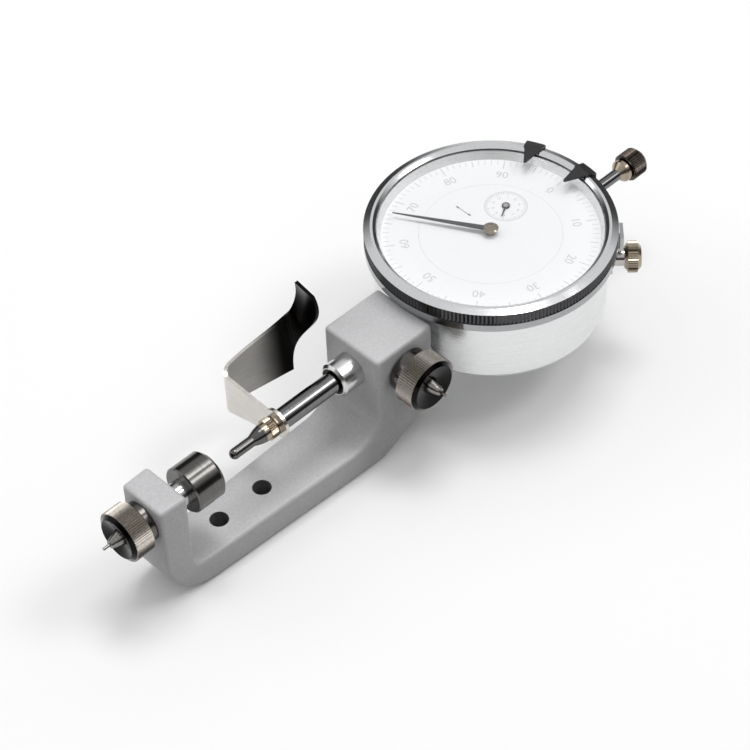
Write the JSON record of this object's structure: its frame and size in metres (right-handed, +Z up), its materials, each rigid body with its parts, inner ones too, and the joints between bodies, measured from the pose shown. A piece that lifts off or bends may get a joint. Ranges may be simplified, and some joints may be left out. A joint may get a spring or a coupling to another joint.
{
  "type": "tablet thickness tester",
  "caption": "Cast bench stand with a set-up anvil facing a dial gauge; a bent side lever draws back the gauge's spindle to take a tablet.",
  "frame": {"origin": "underside of the casting, midway between the two base screw holes", "axes": "+X along the spindle from anvil to gauge, +Y towards the lifting lever, +Z up"},
  "size_m": [0.1645, 0.0566, 0.0398],
  "materials": {
    "cast_grey": "satin",
    "steel": "ground",
    "nickel": "knurled and nickelled",
    "chrome": "bright",
    "bright_alloy": "satin",
    "brass": "turned",
    "dial_white": "printed matt white",
    "black": "matt black",
    "crystal": "clear"
  },
  "bodies": {
    "frame": {"frame_casting": "cast_grey", "gauge_case": "bright_alloy", "gauge_stem": "steel", "stem_bush": "brass", "rear_bush": "brass", "back_cover": "bright_alloy", "back_screw_a": "steel", "back_screw_b": "steel", "back_screw_c": "steel", "back_screw_d": "steel", "front_plate": "brass", "bridge_plate": "brass", "pillar_a": "brass", "pillar_b": "brass", "pillar_c": "brass", "dial_plate": "dial_white", "bezel_wire": "steel"},
    "spindle_body": {"spindle": "steel", "lift_rod": "steel", "lift_knob": "nickel", "contact_point": "steel", "lifting_lever": "chrome", "guide_pin": "steel"},
    "counter_body": {"rack_pinion": "brass", "drive_gear": "brass", "counter_hand": "black"},
    "centre_body": {"centre_pinion": "brass", "main_hand": "black", "hand_hub": "brass"},
    "bezel_body": {"bezel": "chrome", "crystal": "crystal", "dial_ring": "dial_white", "spacer_ring": "bright_alloy"},
    "marker_a_body": {"marker_clip_a": "black"},
    "marker_b_body": {"marker_clip_b": "black"},
    "anvil_body": {"anvil": "steel"},
    "anvil_screw_body": {"anvil_screw": "steel", "anvil_knob": "nickel"},
    "clamp_pad_body": {"clamp_pad": "brass"},
    "clamp_screw_body": {"clamp_screw": "steel", "clamp_knob": "nickel"},
    "hook_body": {"bezel_hook": "steel"},
    "hook_screw_body": {"bezel_screw": "nickel"}
  },
  "joints": [
    {"name": "spindle_slide", "type": "slide", "parent": "frame", "child": "spindle_body", "axis": [1, 0, 0], "range_m": [-0.00562, 0.0049], "stiffness_N_per_m": 20, "springref_m": -0.03},
    {"name": "hand_turn", "type": "hinge", "parent": "frame", "child": "centre_body", "pos_m": [0.0779, 0, 0.033], "axis": [0, 0, 1], "range_deg": [-1869.8, 2144.6]},
    {"name": "counter_turn", "type": "hinge", "parent": "frame", "child": "counter_body", "pos_m": [0.08655, 0.00355, 0.033], "axis": [0, 0, 1], "range_deg": [-214.5, 187]},
    {"name": "bezel_turn", "type": "hinge", "parent": "frame", "child": "bezel_body", "pos_m": [0.0779, 0, 0.033], "axis": [0, 0, 1], "continuous": true},
    {"name": "marker_a_turn", "type": "hinge", "parent": "bezel_body", "child": "marker_a_body", "pos_m": [0.0779, 0, 0.037], "axis": [0, 0, 1], "range_deg": [-8, 100]},
    {"name": "marker_b_turn", "type": "hinge", "parent": "bezel_body", "child": "marker_b_body", "pos_m": [0.0779, 0, 0.037], "axis": [0, 0, 1], "range_deg": [-100, 8]},
    {"name": "anvil_slide", "type": "slide", "parent": "frame", "child": "anvil_body", "axis": [1, 0, 0], "range_m": [-0.0035, 0]},
    {"name": "anvil_turn", "type": "hinge", "parent": "anvil_body", "child": "anvil_screw_body", "pos_m": [-0.0257, 0, 0.0236], "axis": [1, 0, 0], "range_deg": [-1261, 0]},
    {"name": "clamp_slide", "type": "slide", "parent": "frame", "child": "clamp_pad_body", "axis": [0, 1, 0], "range_m": [-0.0016, 0]},
    {"name": "clamp_turn", "type": "hinge", "parent": "clamp_pad_body", "child": "clamp_screw_body", "pos_m": [0.0425, -0.00885, 0.0236], "axis": [0, 1, 0], "range_deg": [-720.6, 0]},
    {"name": "hook_slide", "type": "slide", "parent": "frame", "child": "hook_body", "axis": [0.7071, -0.7071, 0], "range_m": [0, 0.0005]},
    {"name": "hook_screw_turn", "type": "hinge", "parent": "hook_body", "child": "hook_screw_body", "pos_m": [0.09735, -0.01945, 0.026], "axis": [0.7071, -0.7071, 0], "range_deg": [0, 360.3]}
  ],
  "couplings": [
    {"joint": "hand_turn", "follows": "spindle_slide", "rad_per_m": -6283.2},
    {"joint": "counter_turn", "follows": "spindle_slide", "rad_per_m": 628.32},
    {"joint": "anvil_turn", "follows": "anvil_slide", "rad_per_m": 6283.2},
    {"joint": "clamp_turn", "follows": "clamp_slide", "rad_per_m": 7854},
    {"joint": "hook_screw_turn", "follows": "hook_slide", "rad_per_m": 12566}
  ]
}
